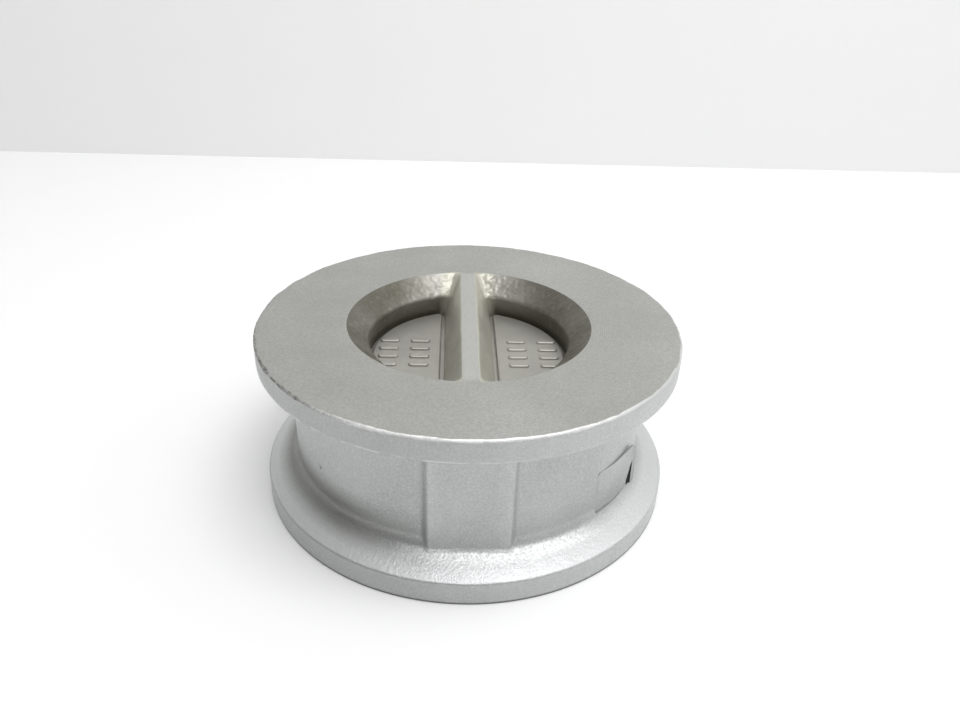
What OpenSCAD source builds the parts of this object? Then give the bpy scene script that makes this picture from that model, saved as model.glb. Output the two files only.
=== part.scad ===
// Dual-plate wafer check valve, nominal size 100 mm.
//
// The valve is clamped between two pipe flanges. Flow enters at the top, pushes two half-round
// plates open about one hinge pin, and two torsion springs close them again.
//
// The outlet gasket face lies on z = 0, centred on the flow axis. +Z points along that axis to
// the inlet. The hinge pin and the centre bar of the seat run along Y. Sizes are in millimetres.

/* [Body casting] */
// Outside diameter of both flanges
flange_od = 175; // [170:1:185]
// Distance between the two gasket faces
face_to_face = 73; // [73:1:80]
// Height of the inlet flange's rim
inlet_rim = 10; // [8:0.5:12]
// Height of the outlet flange's rim
outlet_rim = 10.2; // [8:0.1:12]
// Slope of each flange's inner side, in degrees
flange_slope = 25.6; // [15:0.1:30]
// Radius of the neck between the flanges
neck_r = 74.4; // [73.5:0.1:75]
// Fillet between neck and flange
neck_fillet = 6; // [3:0.5:8]
// Chamfer on the rims of the flanges
rim_chamfer = 0.5; // [0.2:0.1:1]

/* [Outside pads] */
// Distance of the front and rear flats from the flow axis
flat_distance = 76; // [75:0.5:80]
// Width of the front and rear flats
flat_width = 30.4; // [20:0.2:36]
// Width that each flat's flank takes on its way back into the neck
flat_flank = 3.5; // [2:0.5:6]
// Direction of the nameplate, in degrees from +X
label_angle = -38; // [-46:1:-34]
// Distance of the nameplate's inner side from the flow axis
label_distance = 74.2; // [74:0.1:74.3]
// Width of the nameplate, which stands off the neck at both ends
label_width = 26.6; // [20:0.2:28]
// Height of the nameplate's lower edge
label_low = 16.4; // [16:0.1:20]
// Height of the nameplate's top edge
label_top = 35.8; // [30:0.2:44]
// Thickness of the nameplate
label_t = 0.8; // [0.5:0.1:1.2]

/* [Flow passage] */
// Radius of the inlet mouth at the gasket face
mouth_r = 50.5; // [48:0.5:53]
// Depth of the inlet cone
mouth_depth = 8; // [6:0.5:10]
// Radius at the bottom of the inlet cone
throat_r = 41.8; // [40:0.1:42]
// Radius of both ports where they meet the seat
port_r = 42.5; // [42:0.1:43]
// Height of the seat face
seat_z = 55; // [54:0.5:56]
// Outer radius of the seat lip
seat_r = 47.5; // [47:0.5:49]
// Height of the seat lip
seat_lip = 4; // [3.5:0.5:5]
// Largest radius of the outlet chamber
chamber_r = 57; // [55:0.5:60]
// Radius of the outlet mouth
outlet_r = 54; // [52:0.5:56]

/* [Centre bar] */
// Width of the bar at the inlet face
bar_top_w = 7; // [5:0.5:9]
// Width of the bar at the seat
bar_foot_w = 20.6; // [19:0.1:21]
// Height of the bar's upright foot
bar_foot_h = 2; // [1:0.5:3]
// How far each flank bulges halfway up
bar_bulge = 0.6; // [0:0.1:1]

/* [Resilient seat] */
// Inner radius of the seat insert
insert_r = 43.8; // [43.6:0.1:44]
// Width of the seat insert
insert_w = 2.2; // [1.6:0.1:2.4]
// Depth of the groove that holds the insert
insert_depth = 2; // [1.5:0.1:2.5]
// Distance of each straight limb's middle from the centre plane
insert_limb_x = 6; // [4:0.5:7]

/* [Plates] */
// Radius of each half-round plate
plate_r = 46.5; // [45.5:0.1:46.8]
// Thickness of each plate
plate_t = 6; // [5:0.5:6]
// Distance of each plate's straight edge from the centre plane
plate_edge_x = 1.5; // [1:0.1:2]
// Height of the raised face inside the port
face_h = 2; // [1:0.1:2.5]
// Radius of the raised face
face_r = 41; // [40:0.1:41]
// Distance of the raised face's straight edge from the centre plane
face_edge_x = 12; // [12:0.1:13]
// Height of the cast tally bars
tally_h = 0.8; // [0.4:0.1:1.2]

/* [Hinge] */
// Height of the hinge pin's axis
hinge_z = 42; // [41.8:0.1:42]
// Radius of the hinge pin and of the stop pin
pin_r = 4; // [3.5:0.1:4]
// Half the length of both pins
pin_half = 59.8; // [58:0.1:59.9]
// Height of the stop pin's axis
stop_z = 16; // [14:0.5:18]
// Radius of the plates' hinge knuckles
hub_r = 6.7; // [6:0.1:6.8]
// Length of each knuckle
hub_len = 9; // [8:0.1:9]
// Opening angle at which the plates meet the stop pin, in degrees
open_angle = 80; // [70:1:82]
// Radius of each plate's stop boss
boss_r = 3.4; // [3:0.1:3.5]
// Radial clearance of everything that turns on the hinge pin
turn_fit = 0.06; // [0.02:0.01:0.1]
// Gap between neighbours along the hinge pin
end_gap = 0.1; // [0.05:0.05:0.2]

/* [Springs] */
// Wire diameter of the torsion springs
wire_d = 2.2; // [1.8:0.1:2.2]
// Mean radius of the coils
coil_r = 5.6; // [5.2:0.1:5.6]
// Number of full turns in each coil
coil_turns = 7; // [5:1:7]
// Length of each leg from the pin's centre plane
leg_len = 26; // [15:1:32]

/* [Pin carriers] */
// Width of each carrier
carrier_w = 21.8; // [18:0.1:24]
// Distance of each carrier's inner face from the flow axis
carrier_in = 49; // [49:0.1:49.5]
// Distance of each carrier's outer face from the flow axis
carrier_out = 62.9; // [62:0.1:63.5]
// Height of each carrier's lower face
carrier_low = 9; // [6:0.5:10]
// Height of each carrier's upper face
carrier_high = 51.9; // [50:0.1:52]
// Radius of the set screws
screw_r = 3; // [2.5:0.5:3]
// Height of the set screws
screw_z = 29; // [27:0.5:31]

/* [Hidden] */
$fn = 96;

flange_r = flange_od / 2;
slot_gap = 0.1;
body_bearing_t = 2.8;
plate_bearing_t = 1;
spring_bearing_t = 1;
spacer_half = 4;
seal_gap = 0.05;

// Stations along the hinge pin, from the carrier inwards
body_bearing_y = carrier_in - end_gap;
outer_hub_y = body_bearing_y - body_bearing_t - end_gap;
plate_bearing_y = outer_hub_y - hub_len - end_gap;
inner_hub_y = plate_bearing_y - plate_bearing_t - end_gap;
spring_bearing_y = inner_hub_y - hub_len - end_gap;
spring_y = spring_bearing_y - spring_bearing_t - end_gap;

// Plates
plate_top = seat_z - seal_gap;
plate_back = plate_top - plate_t;
tally_len = 8.5;
tally_w = 3;
tally_step = 7;
tally_x = [21, 34.2];

// The stop boss fills the space between plate and stop pin at the opening angle
hinge_to_stop = hinge_z - stop_z;
boss_x = hinge_to_stop * sin(open_angle);
boss_tip = hinge_z - hinge_to_stop * cos(open_angle) + pin_r + end_gap;

// Springs
wire_sides = 8;
ring_step = 20;
coil_start = spring_y - wire_d / 2;
coil_end = spacer_half + end_gap + wire_d / 2;
coil_pitch = (coil_start - coil_end) / coil_turns;

// Half of the outside of the body's section, from the outlet face to the neck, for a rim of
// the given height
function flange_side(rim) =
    let (
        tangent_r = neck_r + neck_fillet * (1 - sin(flange_slope)),
        tangent_z = rim + (flange_r - rim_chamfer - tangent_r) * tan(flange_slope),
        centre_z = tangent_z + neck_fillet * cos(flange_slope),
        first = 270 - flange_slope
    )
    concat(
        [[flange_r - rim_chamfer, 0], [flange_r, rim_chamfer], [flange_r, rim - rim_chamfer],
            [flange_r - rim_chamfer, rim]],
        [for (i = [0:4]) let (a = first + (180 - first) * i / 4)
            [neck_r + neck_fillet * (1 + cos(a)), centre_z + neck_fillet * sin(a)]]
    );

// The same points in reverse order, measured down from the inlet face
function from_inlet(side) =
    [for (i = [len(side) - 1:-1:0]) [side[i][0], face_to_face - side[i][1]]];

// A cylinder along Y between two stations
module along_y(r, y0, y1, z) {
    translate([0, y1, z])
        rotate([90, 0, 0])
            cylinder(h = y1 - y0, r = r);
}

// A ring on the hinge pin
module pin_ring(r, y0, y1) {
    difference() {
        along_y(r, y0, y1, hinge_z);
        along_y(pin_r + turn_fit, y0 - 1, y1 + 1, hinge_z);
    }
}

// ---------------------------------------------------------------- body casting

module body_round() {
    rotate_extrude()
        polygon(concat(
            flange_side(outlet_rim),
            from_inlet(flange_side(inlet_rim)),
            [[mouth_r, face_to_face],
                [throat_r, face_to_face - mouth_depth],
                [port_r, seat_z],
                [seat_r, seat_z],
                [seat_r, seat_z + seat_lip],
                [chamber_r - 4, seat_z + seat_lip],
                [chamber_r, seat_z + seat_lip - 6],
                [chamber_r, outlet_rim],
                [outlet_r, 0]]
        ));
}

module centre_bar() {
    top = bar_top_w / 2;
    foot = bar_foot_w / 2;
    foot_z = seat_z + bar_foot_h;
    middle_z = (face_to_face + foot_z) / 2;
    middle = (top + foot) / 2 + bar_bulge;
    half_len = mouth_r + 1;
    translate([0, half_len, 0])
        rotate([90, 0, 0])
            linear_extrude(height = 2 * half_len)
                polygon([[-foot, seat_z], [foot, seat_z], [foot, foot_z], [middle, middle_z],
                    [top, face_to_face], [-top, face_to_face], [-middle, middle_z],
                    [-foot, foot_z]]);
}

// Upright flat on the outside of the neck at the +Y side
module end_flat() {
    half = flat_width / 2;
    run_out = half + flat_flank;
    translate([0, 0, outlet_rim])
        linear_extrude(height = face_to_face - inlet_rim - outlet_rim)
            polygon([[-run_out, chamber_r + 8], [run_out, chamber_r + 8],
                [run_out, flat_distance - 6], [half, flat_distance], [-half, flat_distance],
                [-run_out, flat_distance - 6]]);
}

// Block that cuts the nameplate's flat into the neck and the outlet flange's fillet
module label_flat() {
    margin = 0.8;
    width = label_width + 2 * margin;
    rotate([0, 0, label_angle])
        translate([label_distance, -width / 2, label_low - margin])
            cube([flange_r - label_distance, width, label_top - label_low + 2 * margin]);
}

// Slot in the chamber wall that takes the pin carrier at the +Y side
module carrier_slot() {
    width = carrier_w + 2 * slot_gap;
    translate([-width / 2, carrier_in - 5, -1])
        cube([width, carrier_out + slot_gap - carrier_in + 5, carrier_high + slot_gap + 1]);
}

module insert_shape(height) {
    outer = insert_r + insert_w;
    linear_extrude(height = height) {
        difference() {
            circle(r = outer);
            circle(r = insert_r);
        }
        intersection() {
            circle(r = outer - insert_w / 2);
            union() {
                for (side = [-1, 1])
                    translate([side * insert_limb_x - insert_w / 2, -outer])
                        square([insert_w, 2 * outer]);
            }
        }
    }
}

module body() {
    color([0.72, 0.73, 0.73])
        difference() {
            union() {
                body_round();
                centre_bar();
                for (turn = [0, 180])
                    rotate([0, 0, turn])
                        end_flat();
            }
            label_flat();
            for (turn = [0, 180])
                rotate([0, 0, turn]) {
                    carrier_slot();
                    along_y(screw_r, carrier_out, carrier_out + 2, screw_z);
                }
            translate([0, 0, seat_z - 1])
                insert_shape(insert_depth + 1);
        }
}

module seat_insert() {
    color([0.10, 0.10, 0.11])
        translate([0, 0, seat_z])
            insert_shape(insert_depth);
}

module nameplate() {
    color([0.70, 0.71, 0.72])
        rotate([0, 0, label_angle])
            translate([label_distance, -label_width / 2, label_low])
                cube([label_t, label_width, label_top - label_low]);
}

// ---------------------------------------------------------------- plates

// One hinge knuckle and the web that carries it, on the right-hand plate
module knuckle(y0, y1) {
    along_y(hub_r, y0, y1, hinge_z);
    translate([0, y1, 0])
        rotate([90, 0, 0])
            linear_extrude(height = y1 - y0)
                polygon([[0, hinge_z], [6, hinge_z - 2.9], [13, plate_back],
                    [13, plate_back + 0.2], [plate_edge_x, plate_back + 0.2],
                    [plate_edge_x, hinge_z + 6.4]]);
}

module half_disc(r, edge_x, height) {
    linear_extrude(height = height)
        intersection() {
            circle(r = r);
            translate([edge_x, -r])
                square([r, 2 * r]);
        }
}

// One round-ended bar across the raised face
module tally_bar() {
    linear_extrude(height = tally_h) {
        square([tally_len - tally_w, tally_w], center = true);
        for (end = [-1, 1])
            translate([end * (tally_len - tally_w) / 2, 0])
                circle(d = tally_w, $fn = 48);
    }
}

module right_plate_shape() {
    difference() {
        union() {
            translate([0, 0, plate_back])
                half_disc(plate_r, plate_edge_x, plate_t);
            translate([0, 0, plate_top])
                half_disc(face_r, face_edge_x, face_h);
            for (x = tally_x, row = [-1.5:1.5])
                translate([x, row * tally_step, plate_top + face_h])
                    tally_bar();
            knuckle(inner_hub_y - hub_len, inner_hub_y);
            knuckle(-outer_hub_y, hub_len - outer_hub_y);
            translate([boss_x, 0, boss_tip])
                cylinder(h = plate_back - boss_tip + 0.2, r = boss_r);
        }
        along_y(pin_r + turn_fit, -plate_r - 2, plate_r + 2, hinge_z);
    }
}

module plate_right() {
    color([0.62, 0.61, 0.58])
        right_plate_shape();
}

module plate_left() {
    color([0.62, 0.61, 0.58])
        rotate([0, 0, 180])
            right_plate_shape();
}

// ---------------------------------------------------------------- pins, carriers and bearings

module hinge_pin() {
    color([0.80, 0.80, 0.80])
        along_y(pin_r, -pin_half, pin_half, hinge_z);
}

module stop_pin() {
    color([0.80, 0.80, 0.80])
        along_y(pin_r, -pin_half, pin_half, stop_z);
}

// The carrier at the +Y side, with blind bores for both pins and a tapped hole
module carrier() {
    bore_end = pin_half + 0.1;
    difference() {
        translate([-carrier_w / 2, carrier_in, carrier_low])
            cube([carrier_w, carrier_out - carrier_in, carrier_high - carrier_low]);
        for (z = [hinge_z, stop_z])
            along_y(pin_r + 0.03, carrier_in - 1, bore_end, z);
        along_y(screw_r, carrier_in - 1, carrier_out + 1, screw_z);
    }
}

module carrier_rear() {
    color([0.60, 0.60, 0.60])
        carrier();
}

module carrier_front() {
    color([0.60, 0.60, 0.60])
        rotate([0, 0, 180])
            carrier();
}

module set_screws() {
    socket_d = 3.4;
    color([0.25, 0.25, 0.26])
        for (turn = [0, 180])
            rotate([0, 0, turn])
                difference() {
                    along_y(screw_r, carrier_in + 1, carrier_out + 1.9, screw_z);
                    translate([0, carrier_in + 4.5, screw_z])
                        rotate([90, 30, 0])
                            cylinder(h = 5, d = socket_d, $fn = 6);
                }
}

module bearing(y, thickness) {
    color([0.78, 0.76, 0.70])
        pin_ring(hub_r, y - thickness, y);
}

module body_bearing_rear() {
    bearing(body_bearing_y, body_bearing_t);
}

module body_bearing_front() {
    bearing(body_bearing_t - body_bearing_y, body_bearing_t);
}

module plate_bearing_rear() {
    bearing(plate_bearing_y, plate_bearing_t);
}

module plate_bearing_front() {
    bearing(plate_bearing_t - plate_bearing_y, plate_bearing_t);
}

module spring_bearing_rear() {
    bearing(spring_bearing_y, spring_bearing_t);
}

module spring_bearing_front() {
    bearing(spring_bearing_t - spring_bearing_y, spring_bearing_t);
}

module centre_spacer() {
    bearing(spacer_half, 2 * spacer_half);
}

// ---------------------------------------------------------------- springs

// Middle of the wire after it has turned through an angle from the top of the coil
function coil_point(turned) =
    [-coil_r * sin(turned), coil_start - coil_pitch * turned / 360, hinge_z + coil_r * cos(turned)];

// A ring of wire around a point of the coil. Its axis follows the wire
function wire_ring(middle, turned) =
    let (outward = [-sin(turned), 0, cos(turned)])
    [for (i = [0:wire_sides - 1]) let (a = 360 * i / wire_sides)
        middle + wire_d / 2 * (cos(a) * outward + sin(a) * [0, 1, 0])];

function spring_points() =
    let (last = 360 * coil_turns)
    concat(
        wire_ring(coil_point(0) + [leg_len, 0, 0], 0),
        [for (turned = [0:ring_step:last], p = wire_ring(coil_point(turned), turned)) p],
        wire_ring(coil_point(last) - [leg_len, 0, 0], 0)
    );

module spring() {
    points = spring_points();
    rings = len(points) / wire_sides;
    color([0.70, 0.70, 0.72])
        polyhedron(
            points = points,
            faces = concat(
                [[for (i = [0:wire_sides - 1]) i]],
                [for (k = [0:rings - 2], i = [0:wire_sides - 1])
                    let (j = (i + 1) % wire_sides, a = k * wire_sides, b = a + wire_sides)
                    [a + i, b + i, b + j, a + j]],
                [[for (i = [wire_sides - 1:-1:0]) (rings - 1) * wire_sides + i]]
            )
        );
}

module spring_rear() {
    spring();
}

module spring_front() {
    rotate([0, 0, 180])
        spring();
}

body();
seat_insert();
plate_left();
plate_right();
hinge_pin();
stop_pin();
carrier_front();
carrier_rear();
set_screws();
body_bearing_front();
body_bearing_rear();
plate_bearing_front();
plate_bearing_rear();
spring_bearing_front();
spring_bearing_rear();
centre_spacer();
spring_front();
spring_rear();
nameplate();
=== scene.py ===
"""Dual-plate wafer check valve: the visual model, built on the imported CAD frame.

The casting, the two plates, the springs and the nameplate are detailed pieces that stand for
their CAD nodes. Pins, carriers, set screws, bearings, spacer and seat insert stay the CAD nodes,
with bevels and materials. Lengths are in millimetres and are scaled to metres when a mesh is
made. Lights, stage surfaces and the depths of bumps are in metres.
"""

import itertools
import math

import bmesh
import bpy
import numpy as np
from mathutils import Matrix, Vector


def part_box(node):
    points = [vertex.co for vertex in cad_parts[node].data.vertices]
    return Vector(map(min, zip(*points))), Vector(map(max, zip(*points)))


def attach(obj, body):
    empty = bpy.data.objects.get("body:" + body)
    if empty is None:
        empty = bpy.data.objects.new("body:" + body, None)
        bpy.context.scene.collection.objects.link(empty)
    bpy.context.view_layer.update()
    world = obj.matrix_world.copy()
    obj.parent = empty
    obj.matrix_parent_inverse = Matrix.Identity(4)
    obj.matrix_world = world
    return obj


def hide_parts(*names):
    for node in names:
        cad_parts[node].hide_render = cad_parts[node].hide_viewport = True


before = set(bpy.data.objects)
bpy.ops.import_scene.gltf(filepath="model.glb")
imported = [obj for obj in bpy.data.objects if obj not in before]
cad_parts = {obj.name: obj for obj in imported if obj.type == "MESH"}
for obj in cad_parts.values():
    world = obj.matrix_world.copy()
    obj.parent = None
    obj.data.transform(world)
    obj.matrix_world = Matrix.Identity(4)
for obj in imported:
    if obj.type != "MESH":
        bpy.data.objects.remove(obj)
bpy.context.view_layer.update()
MM = 0.001


def cad(node):
    """Lowest and highest corner of a CAD node, in millimetres."""
    low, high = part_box(node)
    return [x / MM for x in low], [x / MM for x in high]


# ---- dimensions

# Casting. An edge is the radius of a rounded corner, and a break is a small bevel.
FACE_Z = cad("body")[1][2]
FLANGE_R = cad("body")[1][0]
RIM_LOW, RIM_HIGH = 10.2, 10.0
CAST_EDGE, CUT_EDGE, TORN_EDGE, LIP, BREAK = 1.0, 0.5, 1.25, 0.5, 0.3
SLOPE = math.radians(25.6)
NECK_R, NECK_FILLET = 74.4, 6.0
FLAT_DISTANCE, FLAT_HALF, FLAT_FLANK, FLAT_DEPTH = 76.0, 15.2, 3.5, 6.0
MOUTH_R, MOUTH_DEPTH, THROAT_R, PORT_R = 50.5, 8.0, 41.8, 42.5
SEAT_Z = cad("seat_insert")[0][2]
SEAT_R, SEAT_LIP = 47.5, 4.0
CHAMBER_R, OUTLET_R = 57.0, 54.0
BAR_TOP, BAR_FOOT, BAR_FOOT_H, BAR_BULGE, BAR_FLARE = 3.5, 10.3, 2.0, 0.6, 3.2
SLOT_GAP, SLOT_REACH = 0.1, 5.0
SERRATION = 0.9
AROUND = 720

# Nameplate
LABEL_ANGLE, LABEL_DISTANCE, LABEL_T = math.radians(-38), 74.2, 0.8
LABEL_WIDTH, LABEL_GAP, LABEL_SINK = 26.6, 0.08, 0.72
LABEL_CURL, LABEL_TEAR, LABEL_CORNER, LABEL_FRAME = 0.8, 3.2, 1.6, 1.6
LABEL_LOW, LABEL_TOP = cad("nameplate")[0][2], cad("nameplate")[1][2]

# Plates and hinge
PIN_R = (cad("hinge_pin")[1][0] - cad("hinge_pin")[0][0]) / 2
HINGE_Z = (cad("hinge_pin")[0][2] + cad("hinge_pin")[1][2]) / 2
PLATE_TOP, PLATE_T, PLATE_R, PLATE_EDGE = SEAT_Z - 0.05, 6.0, 46.5, 1.5
PLATE_BACK = PLATE_TOP - PLATE_T
FACE_H, RAISED_R, RAISED_EDGE = 2.0, 41.0, 12.0
TALLY_H, TALLY_LEN, TALLY_W, TALLY_STEP = 0.8, 8.5, 3.0, 7.0
TALLY_X = (21.0, 34.2)
HUB_R, BORE_R, BORE_REACH = 6.7, PIN_R + 0.06, 60.0
STOP_REACH = HINGE_Z - (cad("stop_pin")[0][2] + cad("stop_pin")[1][2]) / 2
OPEN_ANGLE = math.radians(80)
BOSS_R, BOSS_TIP = 3.4, HINGE_Z - STOP_REACH * math.cos(OPEN_ANGLE) + PIN_R + 0.1
KNUCKLES = ((26.8, 35.8), (-46.0, -37.0))
SINK = 0.3  # how deep a web, a boss or a bar starts inside the plate

# Springs
WIRE_R, COIL_R = 1.1, 5.6
COIL_TURNS, LEG_LEN = 7, cad("spring_rear")[1][0]
COIL_START = cad("spring_rear")[1][1] - WIRE_R
COIL_END = cad("spring_rear")[0][1] + WIRE_R


# ---- mesh helpers

def lattice_noise(points, size, seed):
    """Smooth noise from -1 to 1 at N x 3 points, with features of about that size."""
    scaled = np.asarray(points, float) / size
    cell = np.floor(scaled).astype(np.int64)
    part = scaled - cell
    part = part * part * (3 - 2 * part)
    total = np.zeros(len(scaled))
    for corner in itertools.product((0, 1), repeat=3):
        c = cell + np.array(corner)
        mixed = c[:, 0] * 73856093 ^ c[:, 1] * 19349663 ^ c[:, 2] * 83492791 ^ seed * 26544357
        mixed = ((mixed ^ (mixed >> 13)) * 1274126177) & 0x7FFFFFFF
        mixed = ((mixed ^ (mixed >> 15)) * 668265263) & 0x7FFFFFFF
        value = (mixed & 0xFFFFFF) / 0x7FFFFF - 1
        weight = np.prod(np.where(corner, part, 1 - part), axis=1)
        total += value * weight
    return total


def casting_noise(points, seed):
    """Lumps and grain of a sand-cast skin, from about -1 to 1."""
    lumps = lattice_noise(points, 9.0, seed)
    ripples = lattice_noise(points, 3.2, seed + 1)
    grain = lattice_noise(points, 1.5, seed + 2)
    return 0.42 * lumps + 0.26 * ripples + 0.32 * grain


def in_scene(name, data):
    """A new object with that data, linked into the scene."""
    obj = bpy.data.objects.new(name, data)
    bpy.context.scene.collection.objects.link(obj)
    return obj


def new_object(name, vertices, faces):
    """A mesh object from vertices in millimetres."""
    mesh = bpy.data.meshes.new(name)
    mesh.from_pydata((np.asarray(vertices, float) * MM).tolist(), [], faces)
    mesh.validate()
    return in_scene(name, mesh)


def grid_faces(rows, columns, close_rows, close_columns):
    """Quads of a grid whose vertices are stored row by row."""
    faces = []
    for i in range(rows if close_rows else rows - 1):
        below, above = i * columns, (i + 1) % rows * columns
        for j in range(columns if close_columns else columns - 1):
            k = (j + 1) % columns
            faces.append((below + j, below + k, above + k, above + j))
    return faces


def tube_faces(rows, columns):
    """Quads of a grid that closes round its columns, with a polygon over each end."""
    faces = grid_faces(rows, columns, False, True)
    faces.append(tuple(range(columns - 1, -1, -1)))
    faces.append(tuple(range((rows - 1) * columns, rows * columns)))
    return faces


def outward(obj):
    """Points all faces of a closed mesh outwards."""
    edit = bmesh.new()
    edit.from_mesh(obj.data)
    bmesh.ops.recalc_face_normals(edit, faces=edit.faces)
    edit.to_mesh(obj.data)
    edit.free()
    return obj


def combine(obj, tool, operation):
    """Applies a boolean with another object, which is used up."""
    outward(obj)
    outward(tool)
    modifier = obj.modifiers.new("combine", "BOOLEAN")
    modifier.operation = operation
    modifier.solver = "MANIFOLD"
    modifier.object = tool
    graph = bpy.context.evaluated_depsgraph_get()
    made = bpy.data.meshes.new_from_object(obj.evaluated_get(graph))
    obj.modifiers.clear()
    if len(made.polygons) < 4:
        raise RuntimeError(f"the {operation} of {obj.name} and {tool.name} is empty")
    obj.data = made
    bpy.data.objects.remove(tool)


def smooth_shade(obj, degrees):
    """Smooth shading with sharp edges by angle, without the normals that a boolean leaves."""
    mesh = obj.data
    if "custom_normal" in mesh.attributes:
        mesh.attributes.remove(mesh.attributes["custom_normal"])
    mesh.polygons.foreach_set("use_smooth", [True] * len(mesh.polygons))
    mesh.set_sharp_from_angle(angle=math.radians(degrees))


def miters(points):
    """Directions in which a closed outline's points move when it grows by 1."""
    before, after = np.roll(points, 1, axis=0), np.roll(points, -1, axis=0)
    normals = []
    for along in (points - before, after - points):
        along /= np.linalg.norm(along, axis=1)[:, None]
        normals.append(np.stack([along[:, 1], -along[:, 0]], axis=1))
    miter = normals[0] + normals[1]
    return miter / (miter * normals[0]).sum(axis=1)[:, None]


def rim_levels(z, rounding, inward, steps):
    """Heights and insets of the rings that round a prism's rim, from the lowest up."""
    if not rounding:
        return [(z, 0.0)]
    angles = [math.pi / 2 * i / steps for i in range(steps + 1)]
    return sorted((z + inward * rounding * (1 - math.sin(a)), rounding * (1 - math.cos(a)))
                  for a in angles)


def prism(name, outline, low, high, round_top=0.0, round_low=0.0, steps=4):
    """A closed upright prism over a 2D outline given anticlockwise, with rounded rims."""
    points = np.asarray(outline, float)
    miter = miters(points)
    levels = rim_levels(low, round_low, 1, steps) + rim_levels(high, round_top, -1, steps)
    rings = [np.column_stack([points - inset * miter, np.full(len(points), z)])
             for z, inset in levels]
    faces = tube_faces(len(rings), len(points))
    return outward(new_object(name, np.concatenate(rings), faces))


def turn(obj, matrix):
    """Transforms an object's mesh, so that the object itself stays in the CAD frame."""
    obj.data.transform(matrix)
    return obj


def circle(radius, count):
    """Points of a circle, anticlockwise."""
    angles = 2 * math.pi * np.arange(count) / count
    return np.column_stack([radius * np.cos(angles), radius * np.sin(angles)])


def hinge_cylinder(name, radius, y0, y1, rounding=0.0):
    """A cylinder round the hinge's axis, with rounded rims."""
    obj = prism(name, circle(radius, 72), y0, y1, rounding, rounding)
    swap = Matrix(((1, 0, 0, 0), (0, 0, 1, 0), (0, -1, 0, HINGE_Z * MM), (0, 0, 0, 1)))
    return turn(obj, swap)


def box_cutter(name, x0, x1, y0, y1, z0, z1):
    """A block to cut with."""
    outline = [(x0, y0), (x1, y0), (x1, y1), (x0, y1)]
    return prism(name, outline, z0, z1)


def about_z(obj, angle):
    """Turns an object's mesh about the flow axis."""
    return turn(obj, Matrix.Rotation(angle, 4, "Z"))


# ---- the casting

def line(a, b, count, zone):
    """Profile points from a towards b, without b itself."""
    return [(a[0] + (b[0] - a[0]) * i / count, a[1] + (b[1] - a[1]) * i / count, zone)
            for i in range(count)]


def arc(centre, radius, start, end, count, zone):
    """Profile points round a centre, without the last one. Angles are in degrees."""
    angles = [math.radians(start + (end - start) * i / count) for i in range(count)]
    return [(centre[0] + radius * math.cos(a), centre[1] + radius * math.sin(a), zone)
            for a in angles]


def flange_profile(rim, edge):
    """From a gasket face's outer edge to the neck, as (radius, height above the face, zone)."""
    degrees = math.degrees(SLOPE)
    top_r = FLANGE_R - CAST_EDGE
    shoulder = (top_r, rim - CAST_EDGE)
    slope_start = (top_r + CAST_EDGE * math.sin(SLOPE), shoulder[1] + CAST_EDGE * math.cos(SLOPE))
    tangent_r = NECK_R + NECK_FILLET * (1 - math.sin(SLOPE))
    tangent_z = slope_start[1] + (slope_start[0] - tangent_r) * math.tan(SLOPE)
    centre = (NECK_R + NECK_FILLET, tangent_z + NECK_FILLET * math.cos(SLOPE))
    return (
        arc((FLANGE_R - edge, edge), edge, -90, 0, 6, "edge")
        + line((FLANGE_R, edge), (FLANGE_R, shoulder[1]), 11, "cast")
        + arc(shoulder, CAST_EDGE, 0, 90 - degrees, 4, "cast")
        + line(slope_start, (tangent_r, tangent_z), 16, "slope")
        + arc(centre, NECK_FILLET, 270 - degrees, 180, 9, "cast")
        + [(NECK_R, centre[1], "cast")]
    )


def legs(corners):
    """Straight legs between corners, each with the count and zone of its leg."""
    points = []
    for (start, count, zone), (end, _, _) in zip(corners, corners[1:]):
        points += line(start, end, count, zone)
    return points


def casting_profile():
    """The closed section of the casting, from the outlet mouth round the outside and back."""
    low = flange_profile(RIM_LOW, CUT_EDGE)
    high = [(r, FACE_Z - z, zone) for r, z, zone in reversed(flange_profile(RIM_HIGH, TORN_EDGE))]
    neck = line(low[-1][:2], high[0][:2], 60, "cast")[1:]
    throat_z = FACE_Z - MOUTH_DEPTH
    ceiling = SEAT_Z + SEAT_LIP
    mouth = (
        line((FLANGE_R - 1.4 * TORN_EDGE, FACE_Z), (MOUTH_R + LIP, FACE_Z), 24, "face")
        + arc((MOUTH_R + LIP, FACE_Z - LIP), LIP, 90, 135, 2, "lip")
        + line((MOUTH_R + 0.1, FACE_Z - 0.15), (THROAT_R + LIP, throat_z + LIP), 26, "cone")
    )
    inside = legs((
        ((THROAT_R + BREAK, throat_z + 0.2), 3, "cone"),
        ((THROAT_R, throat_z - 0.6), 18, "wall"),
        ((PORT_R, SEAT_Z + BREAK), 2, "seat"),
        ((PORT_R + BREAK, SEAT_Z), 4, "seat"),
        ((SEAT_R - BREAK, SEAT_Z), 1, "seat"),
        ((SEAT_R, SEAT_Z + BREAK), 4, "chamber"),
        ((SEAT_R, ceiling), 5, "chamber"),
        ((CHAMBER_R - 4, ceiling), 6, "chamber"),
        ((CHAMBER_R, ceiling - 6), 30, "chamber"),
        ((CHAMBER_R, RIM_LOW), 8, "chamber"),
        ((OUTLET_R, LIP), 2, "lip"),
        ((OUTLET_R + LIP, 0), 18, "face"),
        ((FLANGE_R - CUT_EDGE, 0), 0, "face"),
    ))
    return low + neck + high + mouth + inside


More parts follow.
